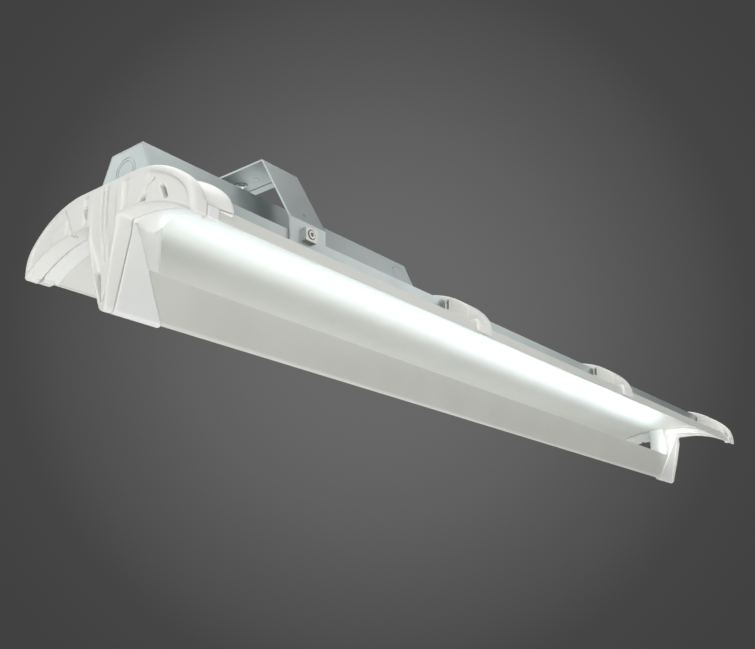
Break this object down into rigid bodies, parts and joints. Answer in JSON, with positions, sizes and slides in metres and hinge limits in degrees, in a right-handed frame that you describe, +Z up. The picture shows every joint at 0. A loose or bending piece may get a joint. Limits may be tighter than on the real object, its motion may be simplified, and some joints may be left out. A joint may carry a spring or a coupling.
{
  "type": "pendant light",
  "caption": "Long linear pendant light with a gull-wing reflector, an upward-lighting LED bar, moulded end caps, clip-on ribs, a driver box and a hanger strap.",
  "frame": {"origin": "middle of the flat top of the spine channel, half way along the light and half way across it", "axes": "+X along the light towards the end away from the driver box, +Y across it, +Z up"},
  "size_m": [1.233, 0.236, 0.1942],
  "materials": {
    "galvanised_sheet": "spangled zinc coat",
    "plated_steel": "bright zinc plate",
    "white_sheet": "satin white paint",
    "white_extrusion": "satin white powder coat",
    "white_bracket": "smooth moulded white",
    "white_moulding": "fine moulded white",
    "board_white": "white solder mask",
    "led_lens": "clear yellow lens",
    "driver_white": "white enamel",
    "terminal_plastic": "natural nylon",
    "earth_brass": "plain"
  },
  "bodies": {
    "root": {"spine_channel": "galvanised_sheet", "driver_box_cover": "galvanised_sheet", "driver_box_near_plate": "galvanised_sheet", "driver_box_far_plate": "galvanised_sheet", "box_knockout": "galvanised_sheet", "hanger_bracket": "galvanised_sheet", "hanger_blocks": "plated_steel", "hanger_bolts": "plated_steel", "hanger_nuts": "plated_steel", "reflector_sheet": "white_sheet", "heat_sink_bar": "white_extrusion", "led_boards": "board_white", "led_packages": "led_lens", "board_screws": "plated_steel", "near_end_cap": "white_moulding", "far_end_cap": "white_moulding", "near_end_bracket": "white_bracket", "far_end_bracket": "white_bracket", "near_rib": "white_moulding", "far_rib": "white_moulding", "rib_screws": "plated_steel", "end_screws": "plated_steel", "bar_screws": "plated_steel", "box_screws": "plated_steel", "plate_screws": "plated_steel", "led_driver": "driver_white", "driver_screws": "plated_steel", "terminal_block": "terminal_plastic", "earth_screw": "earth_brass"}
  },
  "joints": []
}
